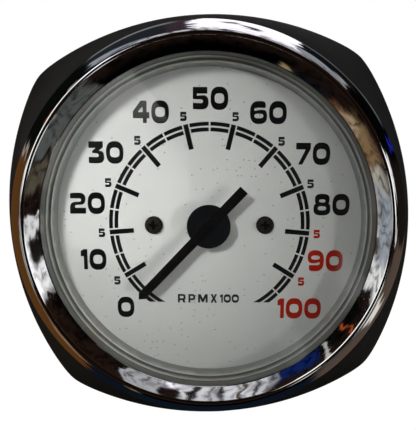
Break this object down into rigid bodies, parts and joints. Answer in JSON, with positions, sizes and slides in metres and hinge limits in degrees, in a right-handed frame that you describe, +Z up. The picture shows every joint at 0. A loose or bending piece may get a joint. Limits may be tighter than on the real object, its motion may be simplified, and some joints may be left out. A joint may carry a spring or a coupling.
{
  "type": "motorcycle tachometer",
  "caption": "Round cable-driven motorcycle tachometer: white dial, black pointer, chrome bezel, in a square-shouldered black housing with rear studs and a threaded cable nipple.",
  "frame": {"origin": "on the dial's axis at the housing's rear face, midway between the two mounting studs", "axes": "dial faces -Y, +Z up the dial, +X to the rider's right; studs and cable nipple leave along +Y"},
  "size_m": [0.0926, 0.0714, 0.0926],
  "materials": {
    "moulded_black": "moulded, matt, very slightly warm black",
    "rubber_black": "moulded, matt",
    "zinc_steel": "bright zinc plate, a little dulled",
    "bezel_chrome": "polished chrome plate over spun steel",
    "lens_glass": "polished flat glass",
    "ring_translucent": "moulded, translucent grey, satin",
    "dial_paint": "matt silver-white lacquer, screen printed",
    "black_screw": "blackened, satin",
    "pointer_black": "moulded, satin, blue-black",
    "brass": "turned and stamped, plain",
    "bright_steel": "turned, bright",
    "spring_bronze": "rolled strip",
    "sheet_aluminium": "drawn, plain",
    "die_cast": "as cast, fine satin",
    "magnet_alloy": "cast alloy, ground",
    "sintered_bronze": "porous, oiled",
    "red_jewel": "polished",
    "wool_felt": "pressed wool felt, oiled",
    "fibre": "pressed fibre",
    "bulb_glass": "clear blown glass"
  },
  "bodies": {
    "case": {"pod": "moulded_black", "pod_gasket": "rubber_black", "case_can": "zinc_steel", "bezel": "bezel_chrome", "lens": "lens_glass", "lens_gasket": "rubber_black", "inner_ring": "ring_translucent", "dial_plate": "dial_paint", "dial_screws": "black_screw", "stop_pins": "bright_steel", "front_bridge": "brass", "front_bearing": "sintered_bronze", "dial_posts": "brass", "bridge_pillars": "brass", "bridge_screws": "bright_steel", "field_cup": "zinc_steel", "thrust_washer": "fibre", "oil_felt": "wool_felt", "drive_bush": "sintered_bronze", "movement_base": "die_cast", "base_screws": "zinc_steel", "cable_nipple": "zinc_steel", "clinch_nuts": "zinc_steel", "mounting_studs": "zinc_steel", "stud_washers": "zinc_steel", "stud_nuts": "zinc_steel", "lamp_holder": "moulded_black", "lamp_sleeve": "brass", "lamp_cap": "bright_steel", "lamp_bulb": "bulb_glass", "lamp_terminals": "brass"},
    "pointer": {"pointer": "pointer_black", "pointer_bush": "brass", "pointer_spindle": "bright_steel", "stop_arm": "brass", "hairspring_collet": "brass", "drag_cup": "sheet_aluminium", "cup_boss": "brass"},
    "drive": {"drive_shaft": "bright_steel", "magnet": "magnet_alloy", "compensator_ring": "bright_steel", "pivot_bearing": "red_jewel", "shaft_clip": "black_screw"},
    "regulator": {"regulator_arm": "brass", "hairspring_stud": "brass", "hairspring": "spring_bronze"}
  },
  "joints": [
    {"name": "pointer_turn", "type": "hinge", "parent": "case", "child": "pointer", "pos_m": [0, -0.048, 0], "axis": [0, 1, 0], "range_deg": [0, 278], "stiffness_Nm_per_rad": 0.00002, "springref_deg": -22.92, "deforming": ["hairspring"]},
    {"name": "drive_spin", "type": "hinge", "parent": "case", "child": "drive", "pos_m": [0, -0.048, 0], "axis": [0, 1, 0], "continuous": true},
    {"name": "regulator_set", "type": "hinge", "parent": "case", "child": "regulator", "pos_m": [0, -0.048, 0], "axis": [0, 1, 0], "range_deg": [-10, 10]}
  ]
}
